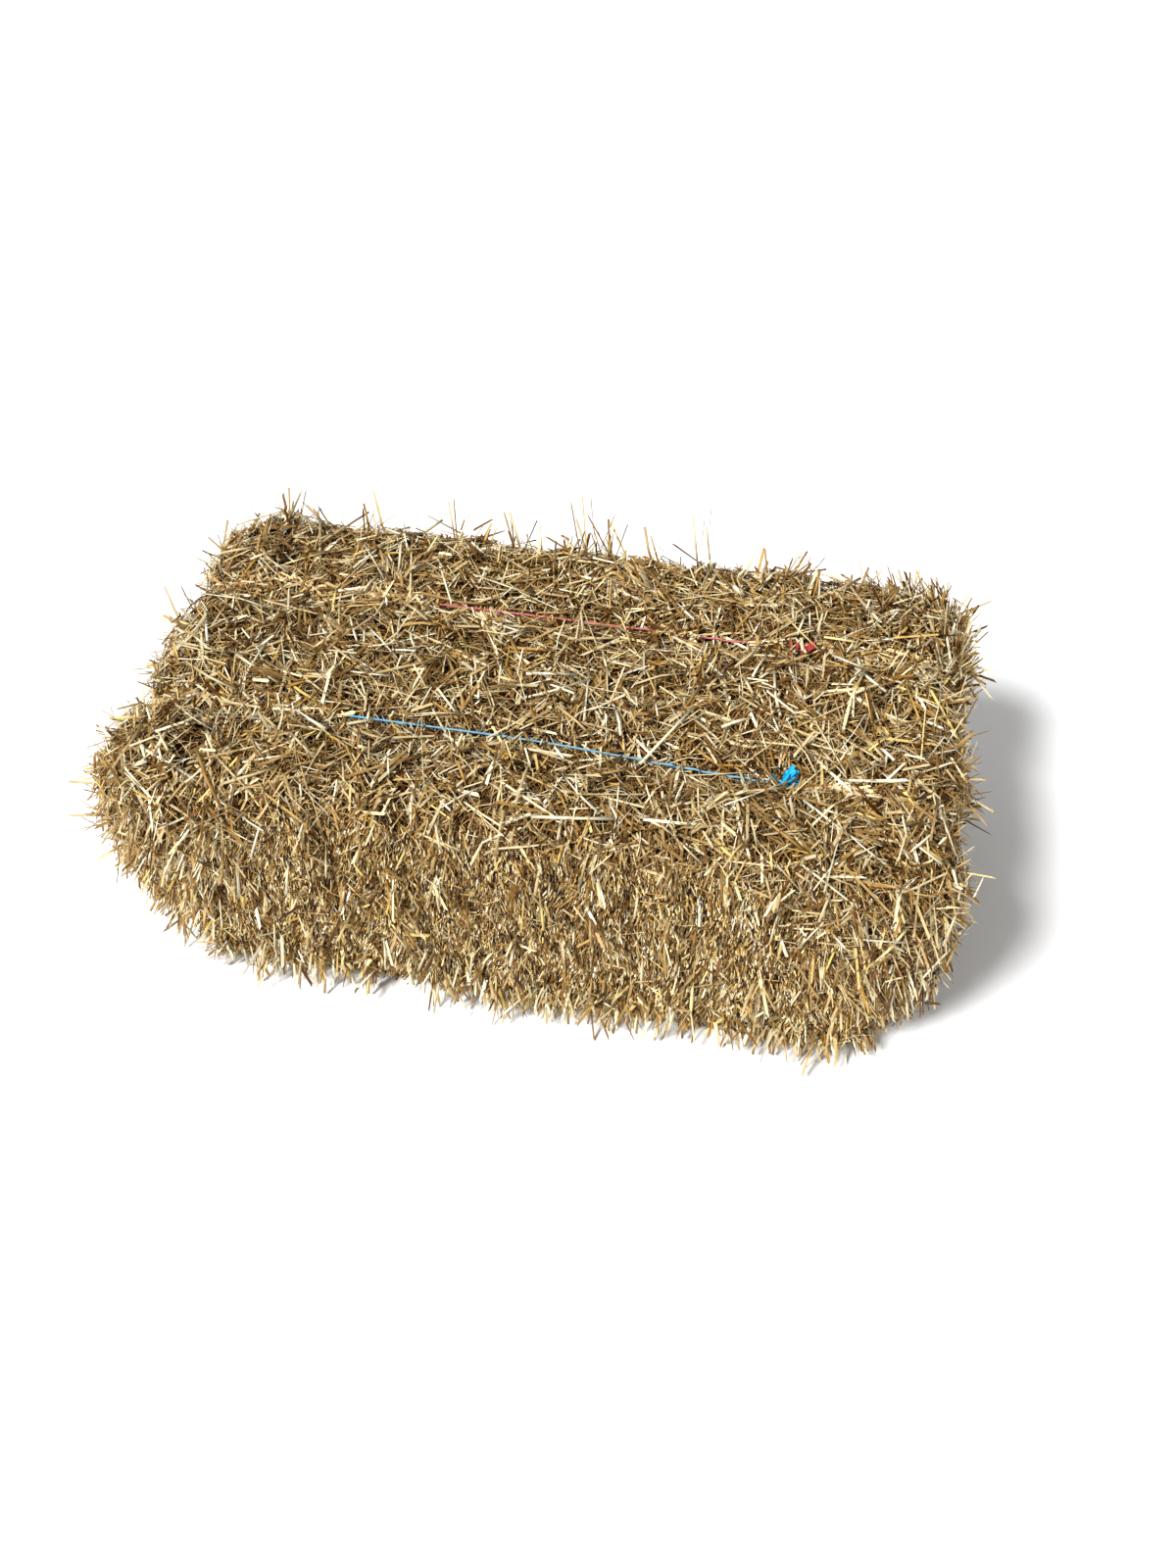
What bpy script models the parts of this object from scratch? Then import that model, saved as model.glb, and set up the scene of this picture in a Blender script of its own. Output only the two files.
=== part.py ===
"""A two-string square straw bale, modelled at its real size in metres.

+X runs along the twines, -Y is the side that the baler's knife sheared, and +Z is up.
The origin is the middle of the footprint, on the ground.

A bale is a row of flakes, the slices that each stroke of the baler's plunger adds. Two loops
of polypropylene twine press them together. Every flake is one solid with the stalks that
bristle from it, and every twine is one solid with its knot and its two cut tails.
"""

import math
import random

import bmesh
import bpy
from mathutils import Matrix, Vector, noise

# Driving dimensions
BALE_LENGTH = 0.950
BALE_WIDTH = 0.47
BALE_HEIGHT = 0.365
FLAKE_COUNT = 11
TOP_RADII = (0.072, 0.034, 0.036)
BASE_RADII = (0.072, 0.016, 0.020)
ROUNDING_SHARES = (0.0, 0.42, 1.0)
SIDE_ROWS = 5
FLAKE_GAP = 0.0008
SEED = 7

# The twines: where each crosses the left and the right half of the bale, and its knot
TWINE_RADIUS = 0.0018
TOP_CLEARANCE = 0.0030
END_CLEARANCE = 0.0060
TWINES = {
    "twine_blue": {"left": -0.098, "right": -0.113, "knot": 0.282, "lean": 0.004},
    "twine_red": {"left": 0.101, "right": 0.098, "knot": 0.286, "lean": -0.004},
}
TWINE_SIDES = 6
KNOT_STEP = 0.007
KNOT_SWELLS = {-1: 2.3, 0: 2.9, 1: 2.3}
BEND_START = -0.05
BEND_LENGTH = 0.33

# The knots' cut tails: how far each reaches along the bale and up, how many leans it drifts
# sideways, and its half width at stations from its root to its frayed end
BACKWARD_TAIL = (-0.004, 0.017, 1)
FORWARD_TAIL = (0.013, 0.013, 2)
TAIL_STATIONS = ((0.0, 0.0012), (0.45, 0.0017), (0.85, 0.0042), (1.0, 0.0030))

# How the twines press into the straw
TOP_GROOVE = 0.010
BASE_GROOVE = 0.0075
END_NOTCH = 0.022
END_FULLNESS = 4
END_TUCK = 0.036
TUCK_HEIGHT = 0.15
CORNER_TUCK = 0.026
CORNER_FULLNESS = 5
GROOVE_HALF_WIDTH = 0.030
GROOVE_PULL = 0.08

# How the straw swells between the twines and between the flakes
FLAKE_SWELL = 0.005
FLAKE_STEP = 0.003
STEP_TURN = 4.1
STEP_START = 0.7
SIDE_SWELL = 0.008
ROUGHNESS = 0.0045
ROUGHNESS_SIZE = 0.055
ROUGHNESS_SHIFT = 9.0
END_SWELLS = {-1: (0.036, 0.012, 0.014), 1: (0.014, 0.012, 0.012)}

# The stalks that bristle from the flakes
STALK_BASE = 0.0037
STALK_MARGIN = 0.009
STALK_LEAN = 0.8
STALK_SPACING = 0.039
STALK_LENGTHS = (0.020, 0.036)
LOWEST_STALK = 0.03
LUMP_SHARE = 0.30
LUMP_HEIGHTS = (0.003, 0.009)

# Which way a face looks, as the least share of its normal on an axis
FACES_UP = 0.5
FACES_DOWN = -0.2
FACES_END = 0.5
FACES_SIDE = 0.7
DROOP_SPREAD = 0.5

# The stalks that droop to the ground along the foot of the cut side
FRINGE_SHARE = 0.8
FRINGE_OUT = (0.012, 0.030)
FRINGE_HEIGHTS = (0.004, 0.016)
FRINGE_SLANT = 0.006

# Where the tips of the longest stray stalks are in the photo
STRAY_TIPS = (
    (-0.394, 0.225, 0.412),
    (-0.364, 0.205, 0.404),
    (-0.295, 0.225, 0.400),
    (-0.177, 0.215, 0.424),
    (-0.101, 0.225, 0.412),
    (-0.060, 0.215, 0.404),
    (-0.015, 0.225, 0.412),
    (0.026, 0.225, 0.418),
    (0.072, 0.225, 0.412),
    (0.132, 0.222, 0.438),
    (0.223, 0.225, 0.398),
    (0.275, 0.225, 0.402),
    (0.352, 0.222, 0.390),
    (0.448, 0.205, 0.394),
    (0.490, 0.205, 0.362),
    (0.508, 0.118, 0.318),
    (0.508, 0.046, 0.280),
    (0.516, -0.080, 0.318),
    (0.508, -0.160, 0.240),
    (-0.502, 0.199, 0.322),
    (-0.510, 0.040, 0.312),
    (-0.520, -0.148, 0.330),
    (-0.538, -0.205, 0.300),
    (-0.545, -0.222, 0.255),
    (-0.520, -0.222, 0.150),
)

# Colours, roughness
STRAW_COLOURS = ((0.50, 0.35, 0.15), (0.46, 0.32, 0.14), (0.54, 0.39, 0.18))
TWINE_COLOURS = {"twine_blue": (0.03, 0.33, 0.72), "twine_red": (0.66, 0.04, 0.06)}
STRAW_ROUGHNESS = 0.7
TWINE_ROUGHNESS = 0.4

ROUND_X, ROUND_Y, TOP_ROUND = TOP_RADII
BASE_ROUND = BASE_RADII[2]
HALF_LENGTH = BALE_LENGTH / 2
HALF_WIDTH = BALE_WIDTH / 2
FLAKE_PITCH = BALE_LENGTH / FLAKE_COUNT
END_FLAKE_START = HALF_LENGTH - FLAKE_PITCH


def clear_scene():
    for item in list(bpy.data.objects):
        bpy.data.objects.remove(item)


def smooth_step(share):
    share = min(max(share, 0.0), 1.0)
    return share * share * (3.0 - 2.0 * share)


def dome(share, fullness=2):
    """1 at the middle of a span that runs from 0 to 1, and 0 at its ends."""
    return 1.0 - abs(2.0 * share - 1.0) ** fullness


def twine_across(twine, x):
    """How far across the bale a twine lies at x. It drifts a little towards its knot."""
    drift = smooth_step((x - BEND_START) / BEND_LENGTH)
    return twine["left"] + (twine["right"] - twine["left"]) * drift


def nearest_twine(x, y):
    return min(TWINES.values(), key=lambda twine: abs(twine_across(twine, x) - y))


def grooved(x, y):
    """1 on a twine's line, falling to 0 at the groove's edge."""
    away = abs(y - twine_across(nearest_twine(x, y), x))
    return max(0.0, 1.0 - away / GROOVE_HALF_WIDTH)


def grid_line_across(x, y):
    """Shifts a grid line of the plain box sideways, so that the groove follows its twine."""
    twine = min(TWINES.values(), key=lambda candidate: abs(candidate["left"] - y))
    nearness = max(0.0, 1.0 - abs(y - twine["left"]) / GROOVE_PULL)
    return y + (twine_across(twine, x) - twine["left"]) * nearness


def end_swell(side, y, z):
    """How far an end stands out beyond the plain box: three lobes, parted by the twines.

    Near the ground the end is drawn in.
    """
    x = side * HALF_LENGTH
    twines_passed = sum(y > twine_across(twine, x) for twine in TWINES.values())
    lobe = END_SWELLS[side][twines_passed] * dome(z / BALE_HEIGHT, END_FULLNESS)
    groove = grooved(x, y)
    tuck = END_TUCK * (1.0 - smooth_step(z / TUCK_HEIGHT))
    return lobe * (1.0 - groove) - END_NOTCH * groove - tuck


def rounded(point):
    """The point of the box with rounded edges nearest to a point of the plain box, and its normal."""
    radii = Vector(BASE_RADII).lerp(Vector(TOP_RADII), smooth_step(point.z / BALE_HEIGHT))
    low = Vector((-HALF_LENGTH, -HALF_WIDTH, 0.0)) + radii
    high = Vector((HALF_LENGTH, HALF_WIDTH, BALE_HEIGHT)) - radii
    core = Vector(min(max(p, a), b) for p, a, b in zip(point, low, high))
    away = Vector((p - c) / r for p, c, r in zip(point, core, radii)).normalized()
    normal = Vector(a / r for a, r in zip(away, radii)).normalized()
    return core + away * radii, normal


def flake_relief(flake, x, place):
    """How far a flake's rim stands out: each swells between its neighbours and is rough."""
    step = FLAKE_STEP * math.sin(STEP_TURN * flake + STEP_START)
    start = -HALF_LENGTH + flake * FLAKE_PITCH
    swell = FLAKE_SWELL * dome((x - start) / FLAKE_PITCH)
    rough = ROUGHNESS * noise.noise(place / ROUGHNESS_SIZE + Vector((0, 0, ROUGHNESS_SHIFT * flake)))
    return step + swell + rough


def bale_surface(x, y, z, flake=None):
    """Moves a point of the plain box out to the bale's real surface."""
    y = grid_line_across(x, y)
    place, normal = rounded(Vector((x, y, z)))
    if flake is not None:
        off_ground = smooth_step(z / TOP_ROUND)
        off_twine = 1.0 - grooved(x, y)
        place += normal * flake_relief(flake, x, place) * off_ground * off_twine
    place.y += math.copysign(SIDE_SWELL, y) * dome(z / BALE_HEIGHT) * abs(normal.y)
    if normal.z > 0:
        place.z -= TOP_GROOVE * grooved(x, y) * normal.z
    else:
        place.z -= BASE_GROOVE * grooved(x, y) * normal.z
    reach = smooth_step((abs(x) - END_FLAKE_START) / FLAKE_PITCH)
    if reach > 0:
        side = int(math.copysign(1, x))
        place.x += side * end_swell(side, y, z) * reach
        tuck = CORNER_TUCK * (y / HALF_WIDTH) ** CORNER_FULLNESS
        place.y -= tuck * reach * (1.0 - z / BALE_HEIGHT / 2)
    return place


def lines_across():
    """The grid's lines across the bale, as places on the plain box."""
    lines = [0.0]
    for twine in TWINES.values():
        lines += [twine["left"] + offset * GROOVE_HALF_WIDTH for offset in (-1, 0, 1)]
    for side in (-1, 1):
        lines += [side * (HALF_WIDTH - ROUND_Y * share) for share in ROUNDING_SHARES]
    return sorted(lines)


def lines_up():
    """The grid's lines up the bale, as heights on the plain box."""
    low = [BASE_ROUND * share for share in ROUNDING_SHARES]
    high = [BALE_HEIGHT - TOP_ROUND * share for share in reversed(ROUNDING_SHARES)]
    step = (high[0] - low[-1]) / SIDE_ROWS
    return low + [low[-1] + step * row for row in range(1, SIDE_ROWS)] + high


def lines_along(flake):
    """The grid's lines along one flake. The end flakes have more where the end rounds off."""
    start = -HALF_LENGTH + flake * FLAKE_PITCH
    near = start + FLAKE_GAP / 2
    far = start + FLAKE_PITCH - FLAKE_GAP / 2
    rounding = [HALF_LENGTH - ROUND_X * share for share in ROUNDING_SHARES]
    if flake == 0:
        return [-x for x in rounding] + [far]
    if flake == FLAKE_COUNT - 1:
        return [near] + rounding[::-1]
    return [near, start + FLAKE_PITCH / 3, start + 2 * FLAKE_PITCH / 3, far]


def rim_loop(across, up):
    """The places round a flake's rim, anticlockwise seen from +X."""
    base = [(y, up[0]) for y in across]
    back = [(across[-1], z) for z in up[1:]]
    top = [(y, up[-1]) for y in reversed(across[:-1])]
    front = [(across[0], z) for z in reversed(up[1:-1])]
    return base + back + top + front


def flake_mesh(flake):
    """One flake's closed grid, with the faces that can be seen on the finished bale."""
    bm = bmesh.new()
    along, across, up = lines_along(flake), lines_across(), lines_up()
    loop = rim_loop(across, up)
    made = {}

    def corner(x, y, z):
        key = (x, y, z)
        if key not in made:
            made[key] = bm.verts.new(bale_surface(x, y, z, flake))
        return made[key]

    outside = []
    for near, far in zip(along, along[1:]):
        for (y0, z0), (y1, z1) in zip(loop, loop[1:] + loop[:1]):
            ring = ((near, y0, z0), (near, y1, z1), (far, y1, z1), (far, y0, z0))
            outside.append(bm.faces.new([corner(*place) for place in ring]))
    ends = {-1: (along[0], flake == 0), 1: (along[-1], flake == FLAKE_COUNT - 1)}
    for x, is_bale_end in ends.values():
        if is_bale_end:
            for y0, y1 in zip(across, across[1:]):
                for z0, z1 in zip(up, up[1:]):
                    ring = ((x, y0, z0), (x, y1, z0), (x, y1, z1), (x, y0, z1))
                    outside.append(bm.faces.new([corner(*place) for place in ring]))
        else:
            bm.faces.new([corner(x, y, z) for y, z in loop])
    bmesh.ops.recalc_face_normals(bm, faces=bm.faces)
    return bm, outside


def redraw_face(bm, face, middle, reach):
    """Extrudes a face and shrinks it to a small one of that reach, round that middle."""
    face = bmesh.ops.extrude_discrete_faces(bm, faces=[face])["faces"][0]
    old = face.calc_center_median()
    for vert in face.verts:
        vert.co = middle + (vert.co - old).normalized() * reach
    return face


def grow_stalk(bm, face, foot, tip):
    """Draws a pointed stalk out of a face, from its foot on that face to its tip."""
    face = redraw_face(bm, face, foot, STALK_BASE)
    face = bmesh.ops.extrude_discrete_faces(bm, faces=[face])["faces"][0]
    bmesh.ops.pointmerge(bm, verts=list(face.verts), merge_co=tip)


def scattered_foot(face, draw):
    """A place on a face, off its middle, so that the stalks stand in no rows."""
    foot = face.calc_center_median()
    for edge in list(face.edges)[:2]:
        run = edge.verts[1].co - edge.verts[0].co
        room = max(0.0, run.length / 2 - STALK_MARGIN)
        foot = foot + run.normalized() * room * draw.uniform(-1, 1)
    return foot


def raise_lump(bm, face, height):
    """Pokes a face, so that its middle stands out as a low lump of straw."""
    normal = face.normal.copy()
    centre = bmesh.ops.poke(bm, faces=[face])["verts"][0]
    centre.co += normal * height


def may_carry(face):
    """Faces near the ground or on a twine's line stay plain."""
    middle = face.calc_center_median()
    if middle.z < LOWEST_STALK or face.normal.z < FACES_DOWN:
        return False
    by_twine = face.normal.z > FACES_UP or abs(face.normal.x) > FACES_END
    return not (by_twine and grooved(middle.x, middle.y) > 0.0)


def lean_of(normal, draw):
    """Which way a stalk leans: down on the cut side and the back, any way elsewhere."""
    drawn = Vector((draw.uniform(-1, 1), draw.uniform(-1, 1), draw.uniform(-1, 1)))
    if abs(normal.y) > FACES_SIDE:
        drawn = Vector((drawn.x * DROOP_SPREAD, 0, -1))
    return (drawn - normal * drawn.dot(normal)).normalized()


def stray_tips(flake):
    """The flake's share of the photo's longest strays."""
    start = -HALF_LENGTH + flake * FLAKE_PITCH
    for tip in map(Vector, STRAY_TIPS):
        along = min(max(tip.x, -HALF_LENGTH), HALF_LENGTH)
        if start <= along <= start + FLAKE_PITCH:
            yield tip


def fringe_tips(flake, draw):
    """Tips along the foot of the flake's cut side, one before the middle of most of its faces."""
    along = lines_along(flake)
    for near, far in zip(along, along[1:]):
        if draw.random() < FRINGE_SHARE and far - near > 4 * FRINGE_SLANT:
            x = (near + far) / 2 + draw.uniform(-FRINGE_SLANT, FRINGE_SLANT)
            foremost = bale_surface(x, -HALF_WIDTH, BASE_ROUND, flake).y
            yield Vector((x, foremost - draw.uniform(*FRINGE_OUT), draw.uniform(*FRINGE_HEIGHTS)))


def grow_to_tips(bm, tips, free, feet):
    """Grows a stalk to each tip, from the free face nearest to it."""
    for tip in tips:
        face = min(free, key=lambda item: (item.calc_center_median() - tip).length)
        free.remove(face)
        foot = face.calc_center_median()
        feet.append(foot)
        grow_stalk(bm, face, foot, tip)


def grow_flake(flake, feet):
    """A flake with its strays, its fringe, its short stalks and its lumps."""
    draw = random.Random(SEED + flake)
    bm, outside = flake_mesh(flake)
    bm.normal_update()
    free = [face for face in outside if may_carry(face)]
    grow_to_tips(bm, stray_tips(flake), free, feet)
    grow_to_tips(bm, fringe_tips(flake, draw), free, feet)
    draw.shuffle(free)
    for face in free:
        foot = scattered_foot(face, draw)
        if all((foot - other).length > STALK_SPACING for other in feet):
            feet.append(foot)
            way = face.normal + STALK_LEAN * lean_of(face.normal, draw)
            grow_stalk(bm, face, foot, foot + way.normalized() * draw.uniform(*STALK_LENGTHS))
        elif draw.random() < LUMP_SHARE:
            raise_lump(bm, face, draw.uniform(*LUMP_HEIGHTS))
    return bm


def twine_places(twine):
    """Where the twine runs on the plain box, once round it, and which place is the knot's."""
    flakes = [lines_along(flake) for flake in range(FLAKE_COUNT)]
    run = sorted(x for lines in flakes for x in lines[:-1] if abs(x) < HALF_LENGTH)
    near_knot = [twine["knot"] + offset * KNOT_STEP for offset in (-2, -1, 0, 1, 2)]
    top_run = sorted([x for x in run if abs(x - twine["knot"]) > 3 * KNOT_STEP] + near_knot)
    heights = lines_up()
    places = [(x, BALE_HEIGHT) for x in top_run]
    places += [(HALF_LENGTH, z) for z in reversed(heights)]
    places += [(x, 0.0) for x in reversed(run)]
    places += [(-HALF_LENGTH, z) for z in heights]
    return places, top_run.index(twine["knot"])


def outward(start, end):
    """The normal of a stretch of the twine, seen from the bale's middle, in the upright plane."""
    ahead = end - start
    return Vector((-ahead.z, 0, ahead.x)).normalized()


def twine_path(twine):
    """The twine's centreline, clear of the straw in its groove."""
    places, knot = twine_places(twine)
    groove = [bale_surface(x, twine["left"], z) for x, z in places]
    path = []
    for i, place in enumerate(groove):
        before = outward(groove[i - 1], place)
        after = outward(place, groove[(i + 1) % len(groove)])
        normal = (before + after).normalized()
        clearance = TOP_CLEARANCE + (END_CLEARANCE - TOP_CLEARANCE) * abs(normal.x)
        path.append(place + normal * clearance / normal.dot(before))
    return path, knot


def twine_ring(bm, middle, ahead, radius):
    """A ring of the twine's section, square to the way ahead."""
    side = Vector((0, 1, 0))
    side = (side - ahead * side.dot(ahead)).normalized()
    up = side.cross(ahead)
    turns = [2 * math.pi * (i + 0.5) / TWINE_SIDES for i in range(TWINE_SIDES)]
    return [bm.verts.new(middle + radius * (math.cos(t) * side + math.sin(t) * up)) for t in turns]


def twine_mesh(twine):
    """A closed loop of twine, with its knot as a thick lump and two tails drawn out of that."""
    bm = bmesh.new()
    path, knot = twine_path(twine)
    rings = []
    for i, middle in enumerate(path):
        ahead = (path[(i + 1) % len(path)] - path[i - 1]).normalized()
        radius = TWINE_RADIUS * KNOT_SWELLS.get(i - knot, 1.0)
        lift = Vector((0, 0, radius - TWINE_RADIUS))
        rings.append(twine_ring(bm, middle + lift, ahead, radius))
    sides = {}
    for i, ring in enumerate(rings):
        following = rings[(i + 1) % len(rings)]
        for j in range(TWINE_SIDES):
            k = (j + 1) % TWINE_SIDES
            sides[i, j] = bm.faces.new((ring[j], ring[k], following[k], following[j]))
    bmesh.ops.recalc_face_normals(bm, faces=bm.faces)
    bm.normal_update()
    for station, (along, up, leans) in ((knot - 1, BACKWARD_TAIL), (knot, FORWARD_TAIL)):
        top = max((sides[station, j] for j in range(TWINE_SIDES)), key=lambda face: face.normal.z)
        draw_tail(bm, top, Vector((along, leans * twine["lean"], up)))
    return bm


def draw_tail(bm, face, reach_out):
    """A cut tail of the knot, thin where it leaves and frayed wide at its end."""
    middle = face.calc_center_median()
    for share, reach in TAIL_STATIONS:
        face = redraw_face(bm, face, middle + reach_out * share, reach)


def material(name, colour, roughness):
    made = bpy.data.materials.new(name)
    made.use_nodes = True
    shader = made.node_tree.nodes["Principled BSDF"]
    shader.inputs["Base Color"].default_value = (*colour, 1.0)
    shader.inputs["Roughness"].default_value = roughness
    shader.inputs["Metallic"].default_value = 0.0
    return made


def finish_object(name, bm, finish, smooth=False):
    mesh = bpy.data.meshes.new(name)
    bmesh.ops.recalc_face_normals(bm, faces=bm.faces)
    bm.to_mesh(mesh)
    bm.free()
    mesh.materials.append(finish)
    if smooth:
        mesh.shade_smooth()
    made = bpy.data.objects.new(name, mesh)
    bpy.context.scene.collection.objects.link(made)
    return made


def make_flakes():
    feet = []
    made = []
    for flake in range(FLAKE_COUNT):
        name = f"flake_{flake + 1:02d}"
        straw = material(f"{name}_straw", STRAW_COLOURS[flake % len(STRAW_COLOURS)], STRAW_ROUGHNESS)
        made.append(finish_object(name, grow_flake(flake, feet), straw))
    return made


def make_twines():
    made = []
    for name, twine in TWINES.items():
        finish = material(name, TWINE_COLOURS[name], TWINE_ROUGHNESS)
        made.append(finish_object(name, twine_mesh(twine), finish, smooth=True))
    return made


def centre_footprint(pieces):
    """Shifts the bale so that the origin is the middle of its footprint."""
    corners = [vert.co for piece in pieces for vert in piece.data.vertices]
    middle = [(min(c[i] for c in corners) + max(c[i] for c in corners)) / 2 for i in range(2)]
    for piece in pieces:
        piece.data.transform(Matrix.Translation((-middle[0], -middle[1], 0.0)))


clear_scene()
centre_footprint(make_flakes() + make_twines())
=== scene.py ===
"""The looks of the square straw bale: its straws and twines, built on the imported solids.

Every flake is dressed in chopped straws that start on its own solid, and in stalks that reach the
tips of the solid's stalks. Each twine is laid up from split film along the middle of its solid.
"""
import math
from typing import NamedTuple

import bmesh
import bpy
import numpy as np
from mathutils import Matrix, Vector


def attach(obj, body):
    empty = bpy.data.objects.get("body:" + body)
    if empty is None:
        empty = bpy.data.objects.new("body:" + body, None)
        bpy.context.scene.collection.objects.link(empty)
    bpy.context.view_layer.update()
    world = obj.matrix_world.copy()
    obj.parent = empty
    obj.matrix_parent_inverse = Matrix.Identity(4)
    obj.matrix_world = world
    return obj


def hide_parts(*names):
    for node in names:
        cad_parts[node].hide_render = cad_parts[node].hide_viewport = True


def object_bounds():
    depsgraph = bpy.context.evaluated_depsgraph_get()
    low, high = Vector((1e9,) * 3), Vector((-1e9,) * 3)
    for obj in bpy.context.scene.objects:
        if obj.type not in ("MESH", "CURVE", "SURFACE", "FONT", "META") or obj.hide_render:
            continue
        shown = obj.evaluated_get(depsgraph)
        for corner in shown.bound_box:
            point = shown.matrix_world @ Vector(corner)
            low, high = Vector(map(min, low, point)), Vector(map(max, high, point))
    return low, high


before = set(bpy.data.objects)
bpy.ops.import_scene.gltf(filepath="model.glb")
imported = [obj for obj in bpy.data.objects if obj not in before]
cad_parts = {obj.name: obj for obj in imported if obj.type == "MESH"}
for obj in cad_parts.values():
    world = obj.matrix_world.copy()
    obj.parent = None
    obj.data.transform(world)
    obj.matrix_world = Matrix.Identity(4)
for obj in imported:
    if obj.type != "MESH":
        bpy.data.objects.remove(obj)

cad_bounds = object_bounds()

SEED = 11

# The bale as its source has it, before it was centred on its footprint
BALE_LENGTH = 0.950
BALE_HEIGHT = 0.365
FLAKE_COUNT = 11
FLAKE_GAP = 0.0008
HIGHEST_TIP = (0.132, 0.222)

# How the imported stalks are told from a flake's body, and the drooping ones from the rest
WELD = 1e-5
STALK_FOOT_SPREAD = 0.006
STALK_SHORTEST = 0.012
FRINGE_HEIGHT = 0.022

# How far below its surface a flake's form is drawn in as a dark sheet of painted shade, which shows
# only through the gaps between straws
DEEP = 0.011
# The sheet's dark tone and tint: painted shade
SHADE_SHEET_TONE = 0.06
SHADE_SHEET_KIND = 0.4

# The least height of a point, and a size that stands for none
GROUND = 0.0003
TINY = 1e-12

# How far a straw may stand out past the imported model's box, and the least share of it that is kept
STAND_PROUD = 0.008
LEAST_KEPT = 0.05

# How near a border between flakes the straws turn to close the groove, and how far
BORDER_REACH = 0.014
BORDER_TURN = 0.75

# Locks of straw that share a way, and clumps and hollows: their sizes, how deep these are, and
# the waves that they are made of
LOCK_SIZE = 0.085
CLUMP_SIZE = 0.055
CLUMP_DEPTH = 0.0035
WAVES = 7
WAVES_PER_SIZE = (0.6, 1.5)

# Where a surface's normal rises less than this, its own way is down
UPRIGHT = 0.8

# Where the photo shows each twine, along the bale, and where its knot is
TWINE_SHOWN = {
    "twine_blue": ((-0.232, 0.262),),
    "twine_red": ((-0.165, 0.107), (0.160, 0.228)),
}
KNOTS = {"twine_blue": 0.282, "twine_red": 0.286}
KNOT_REACH = 0.020

# How the middle of a twine is read off its solid: the turn between two of its rings, how many
# points a smooth curve has between two rings, and which shares of the bale count as top and end
RING_TURN = 0.004
CURVE_POINTS = 16
TOP_FROM = 0.8
END_FROM = 0.42

# How far the straws are kept from a twine in sight, and from its knot, at so many points of each
# straw. At the ends that is below the shoulder. A share of the straws may cross.
TWINE_CLEARANCE = 0.0032
KNOT_CLEARANCE = 0.6 * KNOT_REACH
END_CLEARANCE = 0.0060
END_SHOULDER = 0.305
COVERED = 0.002
POINTS_TESTED = 9
CROSSING_SHARE = 0.24

# The straws that lie over a twine where it doesn't show
COVER_PER_M = 1500
COVER_REACH = 0.011
COVER_RISE = 0.006
COVER_SLOPE = 0.10
COVER_LENGTH = (0.010, 0.024, 0.050)
COVER_WIDTH = (0.0012, 0.0024, 0.0042)
COVER_TONE = (0.1, 0.95)


class Layer(NamedTuple):
    """Straws of one shape on one side of the bale. Lengths in metres, angles in degrees.

    Length and width are given as the least, the middle and the most. Depth is where the held
    point of a straw lies, from the solid's surface out. Pitch is how steeply it stands out, and
    stray how far its way strays from its lock's. Hold is the held point's share of the length.
    Bearing is how far its way is turned from the side's own, which is down on an upright side.
    Tone is the range that its straws' tones are drawn from: the deeper layers draw darker ranges,
    which paints shade between the straws, and the spread within a range is the straws' own tone.
    """

    shape: str
    per_m2: float
    length: tuple
    width: tuple
    depth: tuple
    pitch: tuple
    stray: float
    tone: tuple
    hold: float = 0.5
    bearing: float = 0.0


ANY_WAY = 180

# In each side's layers, the deeper ones have darker tone ranges: painted shade between the straws
# How straws lie on the side that carries the knots
LOOSE = (
    Layer("splinter", 44000, (0.009, 0.018, 0.038), (0.0008, 0.0016, 0.0030),
          (-0.014, -0.002), (0, 20), ANY_WAY, (0.00, 0.70)),
    Layer("chip", 50000, (0.006, 0.015, 0.040), (0.0006, 0.0011, 0.0023),
          (-0.009, 0.002), (0, 18), 27, (0.03, 0.87)),
    Layer("split", 9000, (0.014, 0.034, 0.080), (0.0011, 0.0021, 0.0036),
          (-0.005, 0.004), (0, 12), 38, (0.22, 0.97)),
    Layer("stalk", 1500, (0.024, 0.052, 0.100), (0.0018, 0.0026, 0.0040),
          (-0.003, 0.005), (0, 9), ANY_WAY, (0.45, 1.00)),
    Layer("wisp", 2400, (0.018, 0.036, 0.075), (0.0005, 0.0008, 0.0013),
          (-0.004, 0.005), (0, 30), ANY_WAY, (0.30, 1.00)),
    Layer("chip", 3000, (0.012, 0.022, 0.040), (0.0008, 0.0014, 0.0024),
          (-0.004, 0.001), (20, 65), ANY_WAY, (0.20, 1.00), 0.3),
)
# The two ends, where more straws stand out
ENDS = LOOSE + (
    Layer("chip", 8000, (0.014, 0.028, 0.052), (0.0010, 0.0018, 0.0032),
          (-0.004, 0.002), (15, 70), ANY_WAY, (0.25, 1.00), 0.25),
)
# Where the left end hangs out over the cut side, where the right one fans out beside it, and
# where the back corner is combed upwards
DROOPING = (
    Layer("split", 15000, (0.014, 0.029, 0.050), (0.0012, 0.0021, 0.0034),
          (-0.004, 0.003), (12, 60), 24, (0.25, 1.00), 0.4),
)
FANNED = (
    Layer("split", 15000, (0.020, 0.038, 0.064), (0.0011, 0.0020, 0.0032),
          (-0.004, 0.005), (6, 36), 15, (0.05, 0.95), 0.4, 14),
)
COMBED = (
    Layer("split", 14000, (0.026, 0.046, 0.070), (0.0013, 0.0023, 0.0036),
          (-0.004, 0.003), (15, 50), 16, (0.10, 1.00), 0.35, 160),
)
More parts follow.
